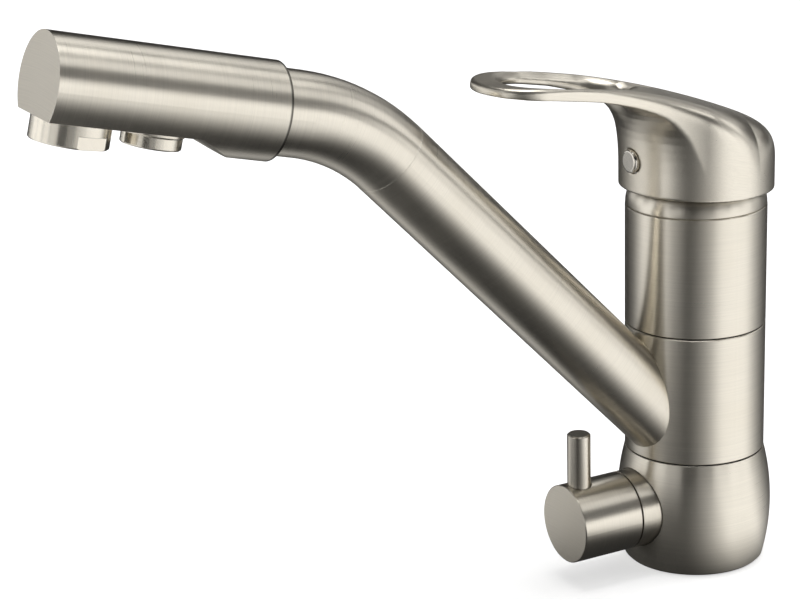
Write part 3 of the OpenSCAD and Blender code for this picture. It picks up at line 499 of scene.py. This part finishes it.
def top_height(x, y):
    arc = ARC[1] + np.sqrt(TOP_R**2 - (y - ARC[0]) ** 2)
    arc = arc + in_ring(y) * (RING_DISH * x * x - RING_DROP)
    droop = DROOP * ease((DROOP_Y - y) / DROOP_RUN)
    u = (y - CUBIC_Y) / CUBIC_RUN
    settled_arc = arc + CUBIC[0] - CUBIC[1] * u - CUBIC[2] * u**2 - CUBIC[3] * u**3
    return settled_arc - droop - CROWN * x * x


def field_table():
    """Signed distance to the underside's line on a grid of distance and height."""
    distances = np.arange(0, TABLE_FAR, TABLE_STEP)
    heights = np.arange(TABLE_LOW, TABLE_HIGH, TABLE_STEP)
    r, z = np.meshgrid(distances, heights, indexing="ij")
    best = np.full(r.shape, np.inf)
    for (r0, z0), (r1, z1) in zip(UNDERSIDE[:-1], UNDERSIDE[1:]):
        dr, dz = r1 - r0, z1 - z0
        t = np.clip(((r - r0) * dr + (z - z0) * dz) / (dr * dr + dz * dz), 0, 1)
        best = np.minimum(best, np.hypot(r - r0 - t * dr, z - z0 - t * dz))
    bend = UNDERSIDE[UPRIGHT_POINTS:]
    line = np.interp(r, bend[:, 0], bend[:, 1])
    under_bend = (r > bend[0, 0]) & (z < line)
    beside_wall = (r > HOOD_R) & (z < bend[0, 1])
    return np.where(under_bend | beside_wall, best, -best)


UNDER_TABLE = field_table()


def under_field(r, z):
    """The table's distance at any place, between its four nearest entries."""
    i = np.clip(r / TABLE_STEP, 0, UNDER_TABLE.shape[0] - 1.001)
    j = np.clip((z - TABLE_LOW) / TABLE_STEP, 0, UNDER_TABLE.shape[1] - 1.001)
    i0, j0 = i.astype(int), j.astype(int)
    u, v = i - i0, j - j0
    near = UNDER_TABLE[i0, j0] * (1 - u) + UNDER_TABLE[i0 + 1, j0] * u
    far = UNDER_TABLE[i0, j0 + 1] * (1 - u) + UNDER_TABLE[i0 + 1, j0 + 1] * u
    return near * (1 - v) + far * v


def rod(x, y, z, a, b, ra, rb):
    """Rod from a to b whose radius goes from ra to rb."""
    ax, ay, az = a
    dx, dy, dz = b[0] - ax, b[1] - ay, b[2] - az
    length2 = dx * dx + dy * dy + dz * dz
    t = np.clip(((x - ax) * dx + (y - ay) * dy + (z - az) * dz) / length2, 0, 1)
    away2 = (x - ax - t * dx) ** 2 + (y - ay - t * dy) ** 2 + (z - az - t * dz) ** 2
    return np.sqrt(away2) - (ra + (rb - ra) * t)


def hood_room(x, y, z):
    """Room inside the hood, without the boss that holds the stem."""
    r = np.hypot(x, y)
    room = np.maximum(r - ROOM_R, z - ROOM_TOP)
    cone_r = np.minimum(ROOM_R, ROOM_R - (z - ROOM_TOP) * CONE_TAPER)
    cone = np.maximum((r - cone_r) * CONE_SCALE, z - CONE_TOP)
    along = (z - PIVOT_Z) * math.cos(STEM_LEAN) - y * math.sin(STEM_LEAN)
    sideways = y * math.cos(STEM_LEAN) + (z - PIVOT_Z) * math.sin(STEM_LEAN)
    boss = np.maximum(np.hypot(x, sideways) - BOSS_R, BOSS_START - along)
    return np.maximum(np.minimum(room, cone), -boss)


def handle_field(x, y, z):
    top = (z - top_height(x, y)) * math.cos(MEAN_SLOPE)
    shoulder = np.interp(y, SHOULDER_Y, SHOULDER)
    body = round_both(plan_field(x, y), top, shoulder, SHOULDER_POWER)
    under = under_field(np.hypot(x, y), z - RING_RAISE * in_ring(y))
    body = round_both(body, under, np.interp(y, RIDGE_Y, RIDGE))
    body = round_both(body, HOOD_LOW - HOOD_LEAN * y - z, SKIRT_EDGE)
    # finger loop, wider above than below
    flare_start = top_height(0 * x, y) - LOOP_FLARE_DEPTH
    flare = LOOP_FLARE * np.clip(z - flare_start, 0, LOOP_FLARE_MOST)
    body = round_cut(body, rod(x, y, 0 * z, *LOOP) - flare, LOOP_EDGE)
    body = round_cut(body, rod(x, y, z, *HOLLOW), HOLLOW_EDGE)
    body = np.maximum(body, -hood_room(x, y, z))
    # narrow shadow gap round the cap
    cap_hole = np.maximum(np.hypot(x, z - CAP_Z) - CAP_HOLE_R, y - CAP_HOLE_Y)
    return np.maximum(body, -cap_hole)


def surface_net(field, low, high, step):
    """Vertices and outward quads where the field crosses zero."""
    axes = [np.arange(low[a], high[a] + step, step) for a in range(3)]
    f = field(*np.meshgrid(*axes, indexing="ij"))
    inside = f < 0
    shape = np.array(f.shape) - 1
    total = np.zeros((int(shape.prod()), 4))
    quads = []
    for a in range(3):
        b, c = (a + 1) % 3, (a + 2) % 3
        at = np.argwhere(np.diff(inside, axis=a))
        after = at.copy()
        after[:, a] += 1
        f0, f1 = f[tuple(at.T)], f[tuple(after.T)]
        point = at.astype(float)
        point[:, a] += f0 / (f0 - f1)
        ring = []
        for db, dc in ((0, 0), (1, 0), (1, 1), (0, 1)):
            cell = at.copy()
            cell[:, b] -= db
            cell[:, c] -= dc
            index = np.ravel_multi_index(tuple(cell.T), tuple(shape))
            ring.append(index)
            for k in range(3):
                total[:, k] += np.bincount(index, point[:, k], len(total))
            total[:, 3] += np.bincount(index, minlength=len(total))
        quad = np.stack(ring, 1)
        backward = f0 < 0
        quad[backward] = quad[backward][:, ::-1]
        quads.append(quad)
    used = np.flatnonzero(total[:, 3])
    number = np.zeros(len(total), int)
    number[used] = np.arange(len(used))
    points = np.array(low) + step * total[used, :3] / total[used, 3:]
    return points, number[np.vstack(quads)][:, ::-1]


def settled(field, points, steps=3, most=0.25, probe=0.02, least_slope2=0.2):
    """Points moved onto the field's zero surface, by no more than most at each step."""
    for _ in range(steps):
        f = field(*points.T)
        slope = np.stack([(field(*(points + probe * e).T) - f) / probe for e in np.eye(3)], 1)
        move = -(f / np.maximum((slope**2).sum(1), least_slope2))[:, None] * slope
        size = np.linalg.norm(move, axis=1, keepdims=True)
        points = points + move * np.minimum(1, most / np.maximum(size, 1e-9))
    return points


def link(name, data):
    obj = bpy.data.objects.new(name, data)
    bpy.context.scene.collection.objects.link(obj)
    return obj


def make_handle():
    points, faces = surface_net(handle_field, NET_LOW, NET_HIGH, NET_STEP)
    points = settled(handle_field, points)
    mesh = bpy.data.meshes.new("handle_casting")
    mesh.from_pydata((points * MM).tolist(), [], faces.tolist())
    mesh.shade_smooth()
    mesh.materials.append(handle_metal)
    handle = link("handle_casting", mesh)
    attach(handle, "lever")
    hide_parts("lever_handle")


make_handle()


# Studio: a white floor, dark cards that only the metal sees, and soft lamps all round

WHITE = (1, 1, 1, 1)
LAMP_WIDTH = 24
# lamps by elevation: azimuth and strength of each, in degrees and as the lamp's own brightness
LAMPS = {
    4: [
        (0, 1.14), (24, 0.90), (72, 0.34), (96, 1.23), (120, 1.56), (144, 1.37), (168, 0.57),
        (288, 0.85), (312, 1.35), (336, 1.34),
    ],
    26: [
        (0, 0.64), (138, 0.33), (166, 1.38), (194, 0.48), (222, 0.42), (305, 0.40), (332, 0.66),
    ],
    50: [(0, 0.33), (135, 1.45), (180, 0.60), (225, 1.34)],
    73: [(0, 1.81), (90, 1.73), (180, 3.03), (270, 2.12)],
    90: [(0, 5.11)],
}
AMBIENT = 0.02
FLOOR_HALF, FLOOR_Z = 6.0, -0.0003
FLOOR_GLOW = 0.60
FLOOR_TONE = 0.80
CARDS_HALF, CARDS_Z = 3.0, -0.0002
CARD_TONE = 0.03
# gaps between the cards: azimuth, sharpness, how clear the gap is, and where it starts and is
# full, in mm
CARD_GAPS = [(120, 4.0, 1.3, 20, 50), (-14, 8.0, 1.8, 240, 400), (-38, 20.0, 0.45, 50, 80)]


def aim(azimuth, elevation=0):
    a, e = math.radians(azimuth), math.radians(elevation)
    return math.sin(a) * math.cos(e), -math.cos(a) * math.cos(e), math.sin(e)


def make_lamps():
    world = bpy.data.worlds.new("studio")
    bpy.context.scene.world = world
    world.use_nodes = True
    t = Tree(world.node_tree)
    light = t.add("ShaderNodeBackground", {"Color": WHITE, "Strength": AMBIENT})
    t.add("ShaderNodeOutputWorld", {"Surface": light.outputs[0]})
    share = math.pi * math.sin(math.radians(LAMP_WIDTH / 2)) ** 2
    for elevation, ring in LAMPS.items():
        for azimuth, strength in ring:
            name = f"lamp_{elevation}_{azimuth}"
            lamp = bpy.data.lights.new(name, "SUN")
            lamp.energy = strength * share
            lamp.angle = math.radians(LAMP_WIDTH)
            toward = Vector(aim(azimuth, elevation))
            link(name, lamp).rotation_euler = toward.to_track_quat("Z", "Y").to_euler()


def flat_square(name, half, height, material):
    corners = [(-half, -half, 0), (half, -half, 0), (half, half, 0), (-half, half, 0)]
    mesh = bpy.data.meshes.new(name)
    mesh.from_pydata(corners, [], [(0, 1, 2, 3)])
    mesh.materials.append(material)
    obj = link(name, mesh)
    obj.location.z = height
    return obj


def make_floor():
    material, t = new_material("pale_floor")
    path = t.add("ShaderNodeLightPath").outputs
    seen = t.math("MAXIMUM", path["Is Camera Ray"], path["Is Glossy Ray"])
    seen = t.math("MAXIMUM", seen, path["Is Transmission Ray"])
    matte = t.add("ShaderNodeBsdfDiffuse", {"Color": tone(WHITE[:3], FLOOR_TONE)})
    glow = t.add("ShaderNodeEmission", {"Strength": t.math("MULTIPLY", seen, FLOOR_GLOW)})
    both = t.add("ShaderNodeAddShader", {0: matte.outputs[0], 1: glow.outputs[0]})
    t.surface(both.outputs[0])
    flat_square("floor", FLOOR_HALF, FLOOR_Z, material)


def make_cards():
    """Dark cards round the foot, out of the camera's sight.

    Soft gaps between them show the white floor.
    """
    material, t = new_material("dark_card")
    place = t.place()
    way, reach = t.vector("NORMALIZE", place), t.vector("LENGTH", place)
    gap = 0.0
    for azimuth, sharp, clear, start, full in CARD_GAPS:
        off = t.math("SUBTRACT", t.vector("DOT_PRODUCT", way, aim(azimuth)), 1.0)
        opened = t.math("EXPONENT", t.math("MULTIPLY", off, sharp))
        opened = t.math("MINIMUM", t.math("MULTIPLY", opened, clear), 1.0)
        opened = t.math("MULTIPLY", opened, t.span(reach, start, full, 0.0, 1.0))
        gap = t.math("MAXIMUM", opened, gap)
    dark = t.add("ShaderNodeEmission", {"Color": WHITE, "Strength": CARD_TONE}).outputs[0]
    hole = t.add("ShaderNodeBsdfTransparent").outputs[0]
    t.surface(t.add("ShaderNodeMixShader", {0: gap, 1: dark, 2: hole}).outputs[0])
    cards = flat_square("dark_cards", CARDS_HALF, CARDS_Z, material)
    cards.visible_camera = cards.visible_diffuse = False
    cards.visible_shadow = cards.visible_transmission = False


def make_camera():
    roll = math.radians(CAMERA_ROLL)
    back = Vector(aim(CAMERA_AZIMUTH, CAMERA_PITCH))
    level = (-back).cross(Vector((0, 0, 1))).normalized()
    upright = level.cross(-back)
    right = level * math.cos(roll) + upright * math.sin(roll)
    up = upright * math.cos(roll) - level * math.sin(roll)
    turned = Matrix((right, up, back)).transposed().to_4x4()
    camera = link("camera", bpy.data.cameras.new("camera"))
    camera.matrix_world = Matrix.Translation(CAMERA_PLACE) @ turned
    camera.data.sensor_width = SENSOR_W
    camera.data.lens = FOCAL_PX / IMAGE_W * SENSOR_W
    camera.data.clip_start, camera.data.clip_end = CAMERA_CLIP
    bpy.context.scene.camera = camera


make_lamps()
make_floor()
make_cards()
make_camera()
bpy.context.scene.view_settings.view_transform = "Standard"
